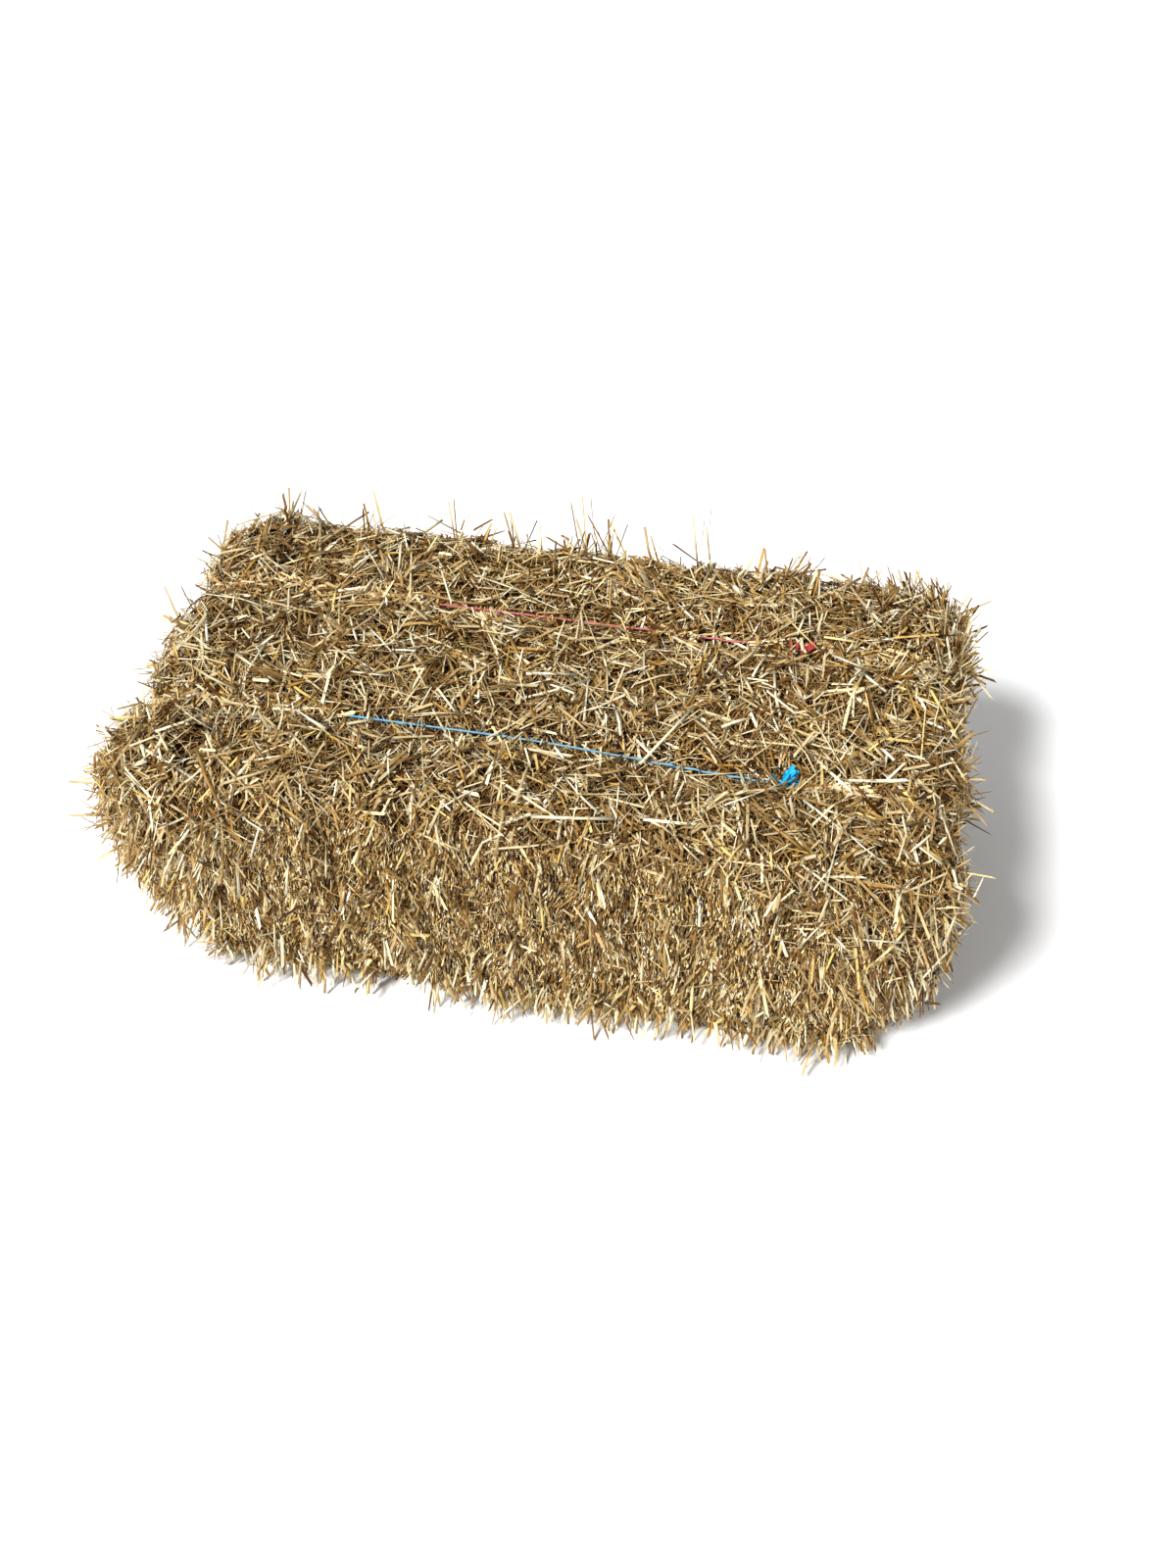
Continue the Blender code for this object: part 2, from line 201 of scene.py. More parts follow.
# The side that the knife sheared: short ends that droop outwards, and a few loose bits
CUT = (
    Layer("splinter", 90000, (0.005, 0.010, 0.020), (0.0008, 0.0014, 0.0024),
          (-0.011, -0.001), (8, 50), 14, (0.00, 0.75), 0.85),
    Layer("chip", 115000, (0.003, 0.007, 0.016), (0.0006, 0.0012, 0.0023),
          (-0.006, 0.003), (12, 58), 16, (0.03, 1.03), 1.0),
    Layer("split", 4500, (0.008, 0.015, 0.034), (0.0009, 0.0016, 0.0028),
          (-0.004, 0.004), (4, 40), 22, (0.25, 1.00), 0.9),
    Layer("split", 1000, (0.010, 0.020, 0.046), (0.0009, 0.0016, 0.0030),
          (-0.002, 0.003), (0, 16), ANY_WAY, (0.45, 1.00)),
    Layer("wisp", 1000, (0.014, 0.028, 0.055), (0.0005, 0.0008, 0.0013),
          (-0.003, 0.004), (0, 30), 50, (0.30, 1.00)),
)
# The side at the back, where the stalks were folded over
FOLDED = (
    Layer("splinter", 32000, (0.009, 0.020, 0.040), (0.0009, 0.0017, 0.0030),
          (-0.012, -0.002), (2, 28), 35, (0.00, 0.75)),
    Layer("chip", 32000, (0.008, 0.020, 0.044), (0.0008, 0.0014, 0.0026),
          (-0.008, 0.001), (2, 28), 30, (0.05, 0.95)),
    Layer("split", 6000, (0.012, 0.030, 0.070), (0.0011, 0.0021, 0.0036),
          (-0.006, 0.003), (0, 20), 42, (0.20, 1.00)),
    Layer("stalk", 500, (0.022, 0.044, 0.085), (0.0018, 0.0027, 0.0042),
          (-0.004, 0.003), (0, 12), 70, (0.35, 1.00)),
    Layer("wisp", 900, (0.018, 0.034, 0.070), (0.0005, 0.0008, 0.0014),
          (-0.004, 0.004), (0, 30), ANY_WAY, (0.30, 1.00)),
)
# The underside, pressed flat on the ground
UNDER = (
    Layer("splinter", 16000, (0.012, 0.024, 0.044), (0.0014, 0.0024, 0.0040),
          (-0.009, -0.002), (0, 5), ANY_WAY, (0.00, 0.70)),
    Layer("split", 4500, (0.012, 0.030, 0.065), (0.0020, 0.0030, 0.0045),
          (-0.004, -0.001), (0, 3), ANY_WAY, (0.10, 0.90)),
)

# Each side's layers, how far a lock turns from the side's own way, its share of the straws and
# how few of them are golden
SIDES = {
    "top": (LOOSE, 4.0, 1.0, 2.8),
    "ends": (ENDS, 3.0, 0.74, 1.7),
    "cut": (CUT, 0.45, 1.0, 0.70),
    "folded": (FOLDED, 0.6, 1.0, 1.3),
    "under": (UNDER, 4.0, 1.0, 1.0),
    "left corner": (DROOPING, 0.3, 1.0, 1.2),
    "right corner": (FANNED, 0.2, 1.0, 1.0),
    "back corner": (COMBED, 0.3, 1.0, 1.7),
}
# The middles of those corners, and how far these reach, from the middle of the pressed bale
CORNERS = {
    "right corner": ((0.470, -0.225, 0.190), (0.05, 0.16)),
    "left corner": ((-0.495, -0.205, 0.215), (0.08, 0.20)),
    "back corner": ((0.480, 0.200, 0.330), (0.06, 0.16)),
}
# Between these heights the loose straws of the top hang over the cut side, and lower near its ends
SHED_HEIGHTS = (0.322, 0.362)
SHED_SHARE = 0.6
SHED_DROP = 0.11
SHED_DROP_PLACES = (0.20, 0.46)

# How far a straw bows, in lengths
BOWS = {"splinter": 0.0, "chip": 0.0, "split": 0.0, "stalk": 0.028, "wisp": 0.09}
SIZE_SPREAD = 0.42
ROLL_SPREAD = 0.5

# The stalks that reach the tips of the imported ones
STALK_WIDTH = (0.0024, 0.0042)
STALK_TONE = (0.4, 1.0)


class Clump(NamedTuple):
    """Straws that stand round a packed stalk. Apart is how far their feet lie from its own, and
    stray how far their ways stray from its own. Reach and tone are ranges, reach in shares of
    the stalk's length, and width is given as the least, the middle and the most.
    """

    number: int
    apart: float
    stray: float
    reach: tuple
    width: tuple
    tone: tuple


# Round a stalk that stands
COMPANIONS = Clump(11, 0.0085, 0.34, (0.30, 0.85), (0.0014, 0.0027, 0.0043), (0.15, 0.95))
# Round a stalk that droops to the ground
FRINGE = Clump(52, 0.0085, 0.20, (0.20, 0.70), (0.0016, 0.0029, 0.0048), (0.30, 1.00))
CLUMP_FULLNESS = (0.1, 1.9)

# Straw tones from dark to bleached, and how a straw's kind tints them (sRGB, 0 to 255)
STRAW_TONES = (
    (0.00, (30, 13, 2)),
    (0.14, (74, 43, 12)),
    (0.32, (124, 91, 44)),
    (0.50, (166, 135, 85)),
    (0.66, (197, 173, 126)),
    (0.82, (222, 208, 171)),
    (1.00, (244, 241, 222)),
)
STRAW_TINTS = (
    (0.00, (240, 240, 240)),
    (0.30, (249, 249, 247)),
    (0.65, (254, 248, 234)),
    (0.86, (254, 243, 207)),
    (1.00, (253, 231, 158)),
)
STRAW_GLOSS = 0.3
STRAW_ROUGHNESS = (0.62, 0.42)
STRAW_BUMP = (0.4, 0.0003)
# Stains and fibres: how fine their noise is along and across a straw, and how much they add to its
# tone. The shift takes their middle off again.
STAIN_FINENESS = (90.0, 300.0)
FIBRE_FINENESS = (120.0, 2600.0)
STAIN_STRENGTH = 0.34
FIBRE_STRENGTH = 0.22
TONE_SHIFT = 0.28
NOISE_APART = 50

TWINE_TONES = {
    "twine_blue": ((0.25, (6, 118, 184)), (0.5, (16, 176, 232)), (0.75, (120, 216, 250))),
    "twine_red": ((0.25, (134, 36, 42)), (0.5, (182, 68, 70)), (0.75, (230, 136, 132))),
}
FILM_ROUGHNESS = (0.50, 0.30)
FILM_BUMP = (0.6, 0.0002)
FILM_FINENESS = (60.0, 3200.0)
# The colour that a twine fades to, how far it has, and how much and how often that varies
FADED = {"twine_blue": (136, 172, 186), "twine_red": (200, 122, 118)}
FADING = 0.86
FADE_SPREAD = 0.3
FADE_SIZE = 0.16

# The twines: strands of film laid up round the middle
STRANDS = 4
STRAND_OFFSET = 0.0009
STRAND_WIDTH = 0.0022
STRAND_THICKNESS = 0.0009
LAY_LENGTH = 0.060
TWINE_STEP = 0.005
FIBRILS = 45
FIBRIL_WIDTH = 0.0004
FIBRIL_LENGTH = (0.008, 0.022)
FIBRIL_STRAY = 0.35
FILM_THICKNESS = 0.0001
KNOT_SIZE = 0.0017
KNOT_TUBE = 0.0012
KNOT_POINTS = 48

# A ribbon of film: how many points it has, how it curls and crumples in shares of its length, and
# which part of an arch its width follows, from how wide and how much wider
RIBBON_POINTS = 6
RIBBON_CURL = 0.18
RIBBON_CRUMPLE = 0.035
RIBBON_ARCH = (0.05, 0.77)
RIBBON_SWELL = (0.35, 0.85)

# How the ribbons of a knot's tufts differ: their roots, which way they face and how far they stray
# from that, their lengths and their widths
TUFT_ROOTS = 0.0012
TUFT_FACING = (0.0, -0.6, 0.8)
TUFT_FACING_STRAY = 0.35
TUFT_LENGTHS = (0.7, 1.05)
TUFT_WIDTHS = (0.5, 1.05)

# Tufts of each knot: from where, along the bale, which way, how long, how many ribbons of film
# and how wide these are, and how far their ways stray
TUFTS = {
    "twine_blue": (
        (-0.002, (0.62, 0.42, 0.66), 0.019, 16, 0.0062, 0.13),
        (0.001, (0.86, 0.22, 0.45), 0.013, 6, 0.0046, 0.16),
        (-0.004, (-0.95, 0.02, 0.16), 0.018, 4, 0.0016, 0.10),
        (0.006, (0.98, -0.16, 0.06), 0.014, 4, 0.0016, 0.12),
    ),
    "twine_red": (
        (-0.009, (0.10, 0.30, 0.90), 0.008, 8, 0.0046, 0.22),
        (0.005, (0.50, 0.30, 0.75), 0.011, 12, 0.0054, 0.20),
    ),
}

# The camera, fitted to the bale's edges in the photo, from the middle of the pressed bale
CAMERA_PLACE = (0.245, -1.015, 1.446)
CAMERA_YAW = -11.5
CAMERA_PITCH = 50.95
CAMERA_ROLL = -1.21
FOCAL_PIXELS = 1300.0
PHOTO_HEIGHT = 1600
SENSOR = 36.0

# The studio
FLOOR_REACH = 30.0
FLOOR_GREY = 0.86
FLOOR_ROUGHNESS = 0.9
SURROUND = 0.45
KEY_PLACE = (-1.7, -1.8, 3.0)
KEY_SPREAD = 14
KEY_STRENGTH = 3.95

# The map for the export's bake: a straw's cell, its margins, and the strip for its caps with their
# middles and reaches in it. Other faces have a cell each.
CELL_ASPECT = 2.0
CELL_MARGIN = 0.08
CAP_STRIP = 0.14
CAP_MIDDLES = ((0.3, 0.12), (0.7, 0.12))
CAP_REACH = (0.16, 0.07)
LEAST_ROW = 0.15
SQUARE_CELL = ((0.1, 0.1), (0.9, 0.1), (0.9, 0.9), (0.1, 0.9))
TRIANGLE_CELL = ((0.1, 0.1), (0.9, 0.1), (0.5, 0.9))


class Shape(NamedTuple):
    """A closed form. Points are shares of its length, then widths across and out.

    Sides and caps are lists of point numbers. A side's cell is its place in the bake's map: its
    left edge, foot, right edge and top.
    """

    points: np.ndarray
    sides: list
    caps: list
    cells: list
    smooth: bool


def prism(section, stations, smooth=False, slant=0.0):
    """A straw with that section, seen from its end, at each station's share and scale.

    Slant is how far its two cut ends lean, as a share of its length.
    """
    count = len(section)
    leans = [slant if share == 0 else -slant if share == 1 else 0.0 for share, _ in stations]
    points = [(share + lean * (x + 0.5), x * scale, y * scale)
              for (share, scale), lean in zip(stations, leans) for x, y in section]
    heights = [max(abs(b[0] - a[0]), LEAST_ROW) for a, b in zip(stations, stations[1:])]
    tops = np.cumsum([0.0] + heights) / sum(heights)
    sides, cells = [], []
    for band in range(len(stations) - 1):
        low, high = band * count, (band + 1) * count
        for j in range(count):
            k = (j + 1) % count
            sides.append([low + j, low + k, high + k, high + j])
            cells.append((j / count, tops[band], (j + 1) / count, tops[band + 1]))
    last = (len(stations) - 1) * count
    caps = [list(range(count))[::-1], [last + j for j in range(count)]]
    return Shape(np.array(points), sides, caps, cells, smooth)


def splinter():
    """The simplest straw: wide at its start, thin at its end."""
    points = [(0, -0.5, 0), (0, 0.5, 0), (1, 0, 0.22), (1, 0, -0.22)]
    sides = [[0, 2, 1], [0, 1, 3], [0, 3, 2], [1, 2, 3]]
    cells = [(j / 4, 0.0, (j + 1) / 4, 1.0) for j in range(4)]
    return Shape(np.array(points, float), sides, [], cells, False)


def chip():
    """A flat bit of straw with slanting ends, a little twisted: the least that still has its width."""
    points = [(0, -0.5, 0), (0.1, 0.5, 0), (1, -0.36, 0.15), (0.9, 0.36, -0.15)]
    return splinter()._replace(points=np.array(points, float))


def ellipse(middle, reach, count):
    """That many points round an ellipse."""
    turns = [2 * math.pi * i / count for i in range(count)]
    return [(middle[0] + reach[0] * math.cos(turn), middle[1] + reach[1] * math.sin(turn))
            for turn in turns]


# The sections of straws, in widths, and a hollow one's stations, which turn in at its ends
RING = ellipse((0, 0), (0.5, 0.44), 5)
FLAT_OUT = [(-0.5, 0.14), (0.0, -0.26), (0.5, 0.14)]
SPLIT_OPEN = [(-0.5, 0.08), (0.15, -0.20), (0.5, 0.18)]
HOLLOW = ((0.04, 0.70), (0.0, 1.0), (0.5, 0.96), (1.0, 0.92), (0.96, 0.64))

SHAPES = {
    "splinter": splinter(),
    "chip": chip(),
    "split": prism(SPLIT_OPEN, ((0.0, 1.0), (1.0, 0.82)), slant=0.07),
    "stalk": prism(RING, HOLLOW, smooth=True),
    "wisp": prism(FLAT_OUT, ((0.0, 1.0), (0.33, 0.95), (0.67, 0.85), (1.0, 0.6))),
}


def linear(colour):
    """A colour given as sRGB, 0 to 255, in the linear values that shaders take."""
    shares = [channel / 255 for channel in colour]
    return tuple(s / 12.92 if s <= 0.04045 else ((s + 0.055) / 1.055) ** 2.4 for s in shares)


def unit(vectors):
    return vectors / np.maximum(np.linalg.norm(vectors, axis=-1, keepdims=True), TINY)


def ramp_up(values, low, high):
    """0 below low, 1 above high, and a smooth rise between."""
    share = np.clip((values - low) / (high - low), 0.0, 1.0)
    return share * share * (3.0 - 2.0 * share)


def ripples(places, size, seed):
    """Smooth noise, mostly between -1 and 1, from waves about that long in all directions."""
    draw = np.random.default_rng(seed)
    ways = unit(draw.normal(0, 1, (WAVES, 3))) * draw.uniform(*WAVES_PER_SIZE, (WAVES, 1))
    phases = draw.uniform(0, 2 * math.pi, WAVES)
    return np.sin(places @ ways.T * (2 * math.pi / size) + phases).sum(1) / math.sqrt(2 * WAVES)


def source_shift():
    """How far the source moved the bale when it was centred, from the highest stalk's tip."""
    tips = [max(node.data.vertices, key=lambda vert: vert.co.z).co
            for name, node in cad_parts.items() if name.startswith("flake")]
    highest = max(tips, key=lambda tip: tip.z)
    return np.array((highest.x - HIGHEST_TIP[0], highest.y - HIGHEST_TIP[1], 0.0))


SHIFT = source_shift()


def flake_border(flake):
    """Where the flake of that number starts along the bale. The number after the last is its end."""
    return SHIFT[0] - BALE_LENGTH / 2 + flake * BALE_LENGTH / FLAKE_COUNT


def read_flake(node):
    """The flake's solid as points and triangles, with its stalks pressed flat, and those stalks."""
    bm = bmesh.new()
    bm.from_mesh(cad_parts[node].data)
    bmesh.ops.remove_doubles(bm, verts=bm.verts, dist=WELD)
    stalks = []
    for vert in bm.verts:
        around = np.array([edge.other_vert(vert).co for edge in vert.link_edges])
        foot = around.mean(0)
        reach = np.linalg.norm(np.array(vert.co) - foot)
        spread = np.linalg.norm(around - foot, axis=1).max()
        if spread < STALK_FOOT_SPREAD and reach > STALK_SHORTEST:
            stalks.append((foot, np.array(vert.co)))
            vert.co = foot
    bmesh.ops.triangulate(bm, faces=bm.faces)
    bm.verts.index_update()
    points = np.array([vert.co for vert in bm.verts])
    triangles = np.array([[vert.index for vert in face.verts] for face in bm.faces])
    bm.free()
    return points, triangles, stalks


def closed_normals(flake, points, normals):
    """The normals, turned near the borders between flakes so that straws close the grooves."""
    turned = normals.copy()
    for border in (flake, flake + 1):
        if 0 < border < FLAKE_COUNT:
            away = np.abs(points[:, 0] - flake_border(border))
            turned[:, 0] *= 1.0 - BORDER_TURN * (1.0 - ramp_up(away, 0.0, BORDER_REACH))
    return unit(turned)


def face_normals(points, triangles):
    a, b, c = (points[triangles[:, i]] for i in range(3))
    cross = np.cross(b - a, c - a)
    return unit(cross), np.linalg.norm(cross, axis=1) / 2


def point_normals(points, triangles):
    normals, areas = face_normals(points, triangles)
    total = np.zeros_like(points)
    for corner in range(3):
        np.add.at(total, triangles[:, corner], normals * areas[:, None])
    return unit(total)


def outer_faces(flake, points, triangles):
    """Which triangles show on the whole bale: all but the flat ones against the next flakes."""
    shown = np.ones(len(triangles), bool)
    for border in (flake, flake + 1):
        if 0 < border < FLAKE_COUNT:
            near = np.abs(points[:, 0] - flake_border(border)) < 2 * FLAKE_GAP
            shown &= ~near[triangles].all(1)
    return shown


def side_weights(points, triangles):
    """How far each triangle belongs to each side of the bale."""
    normals, _ = face_normals(points, triangles)
    middles = points[triangles].mean(1)
    up, down = np.maximum(normals[:, 2], 0), np.maximum(-normals[:, 2], 0)
    front, back = np.maximum(-normals[:, 1], 0), np.maximum(normals[:, 1], 0)
    drop = SHED_DROP * ramp_up(np.abs(middles[:, 0] - SHIFT[0]), *SHED_DROP_PLACES)
    shed = SHED_SHARE * ramp_up(middles[:, 2] + drop, *SHED_HEIGHTS)
    weights = {
        "top": up**2 + front**2 * shed,
        "ends": normals[:, 0] ** 2,
        "cut": front**2 * (1 - shed),
        "folded": back**2,
        "under": down**2,
    }
    for corner, (place, reach) in CORNERS.items():
        away = np.linalg.norm(middles - SHIFT - place, axis=1)
        weights[corner] = 1 - ramp_up(away, *reach)
    return weights


def joined(batches):
    return {key: np.concatenate([batch[key] for batch in batches]) for key in batches[0]}


def kept(batch, mask):
    return {key: column[mask] for key, column in batch.items()}


def log_sizes(draw, span, count):
    """Random sizes round a middle one, between the least and the most."""
    least, middle, most = span
    return np.clip(middle * np.exp(draw.normal(0, SIZE_SPREAD, count)), least, most)


def straws(draw, start, end, facing, width, tone, shape, golden=2.0):
    """A batch of straws of one shape, with a row for each.

    Facing is the way that their flat sides look. The higher golden is, the fewer are golden.
    """
    count = len(width)
    axis = unit(end - start)
    length = np.linalg.norm(end - start, axis=1)
    side = unit(np.cross(facing, axis))
    roll = draw.normal(0, ROLL_SPREAD, count)[:, None]
    side = side * np.cos(roll) + np.cross(axis, side) * np.sin(roll)
    bow = draw.normal(0, 1, count) * length * BOWS[shape]
    return {
        "start": start,
        "end": end,
        "side": side,
        "bow": side * bow[:, None],
        "width": width,
        "tone": tone,
        "kind": draw.random(count) ** golden,
        "crossing": draw.random(count) < CROSSING_SHARE,
    }


def strewn(draw, points, triangles, normals, weights, per_m2):
    """Random places on the triangles, by area and weight, with the smooth normal at each."""
    _, areas = face_normals(points, triangles)
    areas = areas * weights
    count = int(per_m2 * areas.sum())
    if count == 0:
        return np.zeros((0, 3)), np.zeros((0, 3))
    picked = draw.choice(len(triangles), count, p=areas / areas.sum())
    root = np.sqrt(draw.random(count))
    second = draw.random(count)
    shares = np.stack([1 - root, root * (1 - second), root * second], 1)[:, :, None]
    place = (points[triangles[picked]] * shares).sum(1)
    normal = unit((normals[triangles[picked]] * shares).sum(1))
    return place, normal


def lay_layer(draw, layer, sway, golden, place, normal):
    """Straws of one layer, one held at each place."""
    count = len(place)
    upright = (np.abs(normal[:, 2]) < UPRIGHT)[:, None]
    own_way = np.where(upright, (0.0, 0.0, -1.0), (0.0, 1.0, 0.0))
    down = unit(own_way - normal * (own_way * normal).sum(1)[:, None])
    across = np.cross(normal, down)
    if layer.stray >= ANY_WAY:
        turn = draw.uniform(-math.pi, math.pi, count)
    else:
        stray = np.radians(draw.normal(layer.bearing, layer.stray, count))
        turn = sway * ripples(place, LOCK_SIZE, SEED) + stray
    way = down * np.cos(turn)[:, None] + across * np.sin(turn)[:, None]
    pitch = np.radians(draw.uniform(*layer.pitch, count))[:, None]
    axis = way * np.cos(pitch) + normal * np.sin(pitch)
    length = log_sizes(draw, layer.length, count)
    depth = draw.uniform(*layer.depth, count) + CLUMP_DEPTH * ripples(place, CLUMP_SIZE, SEED + 1)
    held = place + normal * depth[:, None]
    start = held - axis * (length * layer.hold)[:, None]
    end = held + axis * (length * (1 - layer.hold))[:, None]
    width = log_sizes(draw, layer.width, count)
    tone = draw.uniform(*layer.tone, count)
    return straws(draw, start, end, normal, width, tone, layer.shape, golden)


def lay_stalks(draw, stalks):
    """A stalk that reaches the tip of each packed stalk."""
    foot = np.array([foot for foot, _ in stalks])
    tip = np.array([tip for _, tip in stalks])
    count = len(foot)
    rooted = foot - unit(tip - foot) * DEEP
    facing = draw.normal(0, 1, (count, 3))
    width = draw.uniform(*STALK_WIDTH, count)
    tone = draw.uniform(*STALK_TONE, count)
    return straws(draw, rooted, tip, facing, width, tone, "stalk")


def lay_companions(draw, stalks, clump):
    """Shorter straws that stand round each packed stalk."""
    fullness = draw.uniform(*CLUMP_FULLNESS, len(stalks))
    owner = np.repeat(np.arange(len(stalks)), (clump.number * fullness).astype(int))
    foot = np.array([foot for foot, _ in stalks])[owner]
    tip = np.array([tip for _, tip in stalks])[owner]
    count = len(owner)
    length = np.linalg.norm(tip - foot, axis=1)[:, None]
    reach = draw.uniform(*clump.reach, count)[:, None]
    axis = (tip - foot) * reach + draw.normal(0, 1, (count, 3)) * clump.stray * length
    foot = foot + draw.normal(0, 1, (count, 3)) * clump.apart
    facing = draw.normal(0, 1, (count, 3))
    width = log_sizes(draw, clump.width, count)
    tone = draw.uniform(*clump.tone, count)
    return straws(draw, foot - unit(axis) * DEEP, foot + axis, facing, width, tone, "chip")


def read_twine(node):
    """The middle of a twine's solid as a closed loop of points, its knot passed over."""
    points = np.array([vert.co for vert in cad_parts[node].data.vertices])
    knot_x = KNOTS[node] + SHIFT[0]
    at_knot = (np.abs(points[:, 0] - knot_x) < KNOT_REACH) & (points[:, 2] > BALE_HEIGHT / 2)
    points = points[~at_knot]
    middle = (points.min(0) + points.max(0)) / 2
    bearing = np.arctan2(points[:, 2] - middle[2], points[:, 0] - middle[0])
    order = np.argsort(bearing)
    points, bearing = points[order], bearing[order]
    rings = np.split(points, np.nonzero(np.diff(bearing) > RING_TURN)[0] + 1)
    return np.array([ring.mean(0) for ring in rings])


def smooth_loop(corners, step):
    """A smooth closed curve through the corners, as points about a step apart."""
    before, after, beyond = (np.roll(corners, shift, axis=0) for shift in (1, -1, -2))
    share = np.linspace(0, 1, CURVE_POINTS, endpoint=False)[None, :, None]
    a, b, c, d = (each[:, None] for each in (before, corners, after, beyond))
    curve = 0.5 * (2 * b + (c - a) * share + (2 * a - 5 * b + 4 * c - d) * share**2
                   + (3 * b - a - 3 * c + d) * share**3)
    curve = curve.reshape(-1, 3)
    closed = np.vstack([curve, curve[:1]])
    travelled = np.concatenate([[0], np.cumsum(np.linalg.norm(np.diff(closed, axis=0), axis=1))])
    count = int(travelled[-1] / step)
    wanted = np.linspace(0, travelled[-1], count, endpoint=False)
    return np.stack([np.interp(wanted, travelled, closed[:, axis]) for axis in range(3)], 1)


TWINE_LINES = {name: smooth_loop(read_twine(name), TWINE_STEP) for name in KNOTS}


def twine_on_top(name, xs):
    """Where the twine lies over the top at each place along the bale: across, and its height."""
    line = TWINE_LINES[name]
    top = line[line[:, 2] > BALE_HEIGHT * TOP_FROM]
    top = top[np.argsort(top[:, 0])]
    return np.interp(xs, top[:, 0], top[:, 1]), np.interp(xs, top[:, 0], top[:, 2])


def twine_at_end(name, side, heights):
    """Where the twine runs down that end at each height: across, and how far out along the bale."""
    line = TWINE_LINES[name]
    end = line[side * line[:, 0] > BALE_LENGTH * END_FROM]
    end = end[np.argsort(end[:, 2])]
    return np.interp(heights, end[:, 2], end[:, 1]), np.interp(heights, end[:, 2], side * end[:, 0])


def is_shown(name, xs):
    shown = np.zeros(len(xs), bool)
    for low, high in TWINE_SHOWN[name]:
        shown |= (xs > low + SHIFT[0]) & (xs < high + SHIFT[0])
    return shown


def within_reach(batch):
    """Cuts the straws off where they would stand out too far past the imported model's box."""
    low, high = (np.array(corner) for corner in cad_bounds)
    low, high = low - (STAND_PROUD, STAND_PROUD, 1.0), high + STAND_PROUD
    trimmed = dict(batch)
    for fixed, moved in (("start", "end"), ("end", "start")):
        way = trimmed[moved] - trimmed[fixed]
        room = np.where(way > 0, high, low) - trimmed[fixed]
        way_or_tiny = np.where(np.abs(way) < TINY, TINY, way)
        share = np.clip((room / way_or_tiny).min(1), LEAST_KEPT, 1.0)
        trimmed[moved] = trimmed[fixed] + way * share[:, None]
    return trimmed


def clear_of_twines(batch):
    """Leaves out most of the straws that would hide a twine or its knot where these show.

    On the top that is where the photo shows them, and at the ends all the way down.
    """
    keep = np.ones(len(batch["width"]), bool)
    for name in TWINE_SHOWN:
        for share in np.linspace(0, 1, POINTS_TESTED):
            place = batch["start"] * (1 - share) + batch["end"] * share
            across, height = twine_on_top(name, place[:, 0])
            away = np.abs(place[:, 1] - across)
            over_line = (away < TWINE_CLEARANCE) & is_shown(name, place[:, 0])
            from_knot = np.hypot(place[:, 0] - KNOTS[name] - SHIFT[0], away)
            over_knot = from_knot < KNOT_CLEARANCE
            over = (over_line | over_knot) & (place[:, 2] > height - COVERED)
            for side in (-1, 1):
                across, out = twine_at_end(name, side, place[:, 2])
                near = (np.abs(place[:, 1] - across) < END_CLEARANCE) & (place[:, 2] < END_SHOULDER)
                over |= near & (side * place[:, 0] > out - COVERED)
            keep &= ~over | batch["crossing"]
    return kept(batch, keep)


def lay_covers(draw, flake):
    """Straws that lie over the twines on this flake, where the photo shows no twine."""
    batches = []
    low, high = flake_border(flake), flake_border(flake + 1)
    for name in TWINE_SHOWN:
        count = int(COVER_PER_M * (high - low))
        xs = draw.uniform(low, high, count)
        xs = xs[~is_shown(name, xs)]
        across, height = twine_on_top(name, xs)
        count = len(xs)
        across = across + draw.normal(0, COVER_REACH / 2, count)
        height = height + draw.uniform(0.0, COVER_RISE, count)
        middle = np.stack([xs, across, height], 1)
        turn = draw.uniform(0, 2 * math.pi, count)
        slope = draw.normal(0, COVER_SLOPE, count)
        half = np.stack([np.cos(turn), np.sin(turn), slope], 1)
        half = half * log_sizes(draw, COVER_LENGTH, count)[:, None] / 2
        facing = np.tile((0.0, 0.0, 1.0), (count, 1))
        width = log_sizes(draw, COVER_WIDTH, count)
        tone = draw.uniform(*COVER_TONE, count)
        batches.append(straws(draw, middle - half, middle + half, facing, width, tone, "split"))
    return joined(batches)


def form_arrays(shape, batch):
    """Points, faces and attributes of a batch of straws of that shape."""
    share, across, out = shape.points.T
    count, size = len(batch["width"]), len(share)
    axis = unit(batch["end"] - batch["start"])
    outward = np.cross(axis, batch["side"])
    line = batch["start"][:, None] * (1 - share)[:, None] + batch["end"][:, None] * share[:, None]
    line = line + batch["bow"][:, None] * (4 * share * (1 - share))[:, None]
    width = batch["width"][:, None, None]
    section = batch["side"][:, None] * across[:, None] + outward[:, None] * out[:, None]
    points = (line + section * width).reshape(-1, 3)
    points[:, 2] = np.maximum(points[:, 2], GROUND)
    faces = shape.sides + shape.caps
    first = np.arange(count)[:, None] * size
    corners = np.array([number for face in faces for number in face])
    length = np.linalg.norm(batch["end"] - batch["start"], axis=1)[:, None]
    return {
        "points": points,
        "loops": (first + corners).ravel(),
        "totals": np.tile([len(face) for face in faces], count),
        "smooth": np.tile([shape.smooth] * len(shape.sides) + [False] * len(shape.caps), count),
        "tone": np.repeat(batch["tone"], size),
        "kind": np.repeat(batch["kind"], size),
        "along": (length * share + batch["kind"][:, None] * NOISE_APART).ravel(),
        "across": (batch["width"][:, None] * across + batch["tone"][:, None] * NOISE_APART).ravel(),
        "maps": cell_maps(shape, count),
    }


